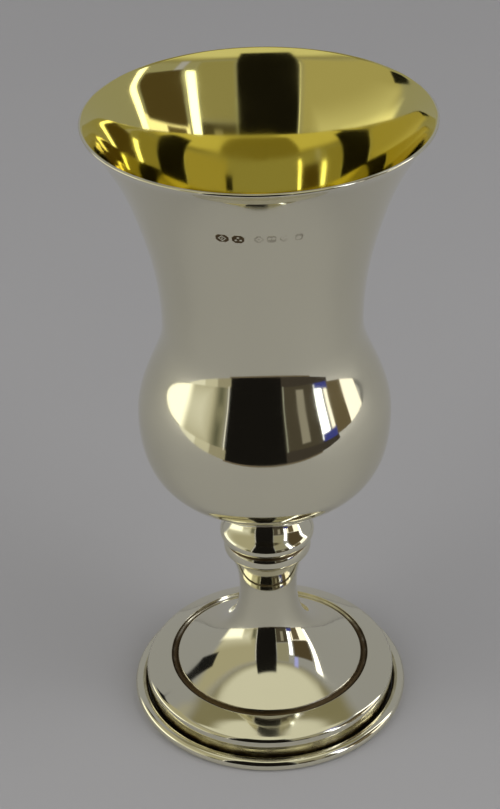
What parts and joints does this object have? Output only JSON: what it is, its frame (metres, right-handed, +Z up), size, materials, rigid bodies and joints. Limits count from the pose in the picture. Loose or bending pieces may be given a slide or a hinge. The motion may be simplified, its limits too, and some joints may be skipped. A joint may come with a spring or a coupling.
{
  "type": "kiddush cup",
  "caption": "Stemmed ceremonial wine cup: a thistle-shaped silver bowl, gilt inside, on a turned collar and a hollow trumpet foot with a sloping base ring.",
  "frame": {"origin": "on the table, under the middle of the foot", "axes": "+Z up along the cup's own axis; the row of punched marks faces -Y"},
  "size_m": [0.0686, 0.0686, 0.14],
  "materials": {
    "silver": "polished sterling silver with light wear, darker in the grooves",
    "gilding": "polished lemon-yellow gilding inside the bowl"
  },
  "bodies": {
    "root": {"bowl": "silver", "collar": "silver", "foot": "silver", "foot_wire": "silver"}
  },
  "joints": []
}
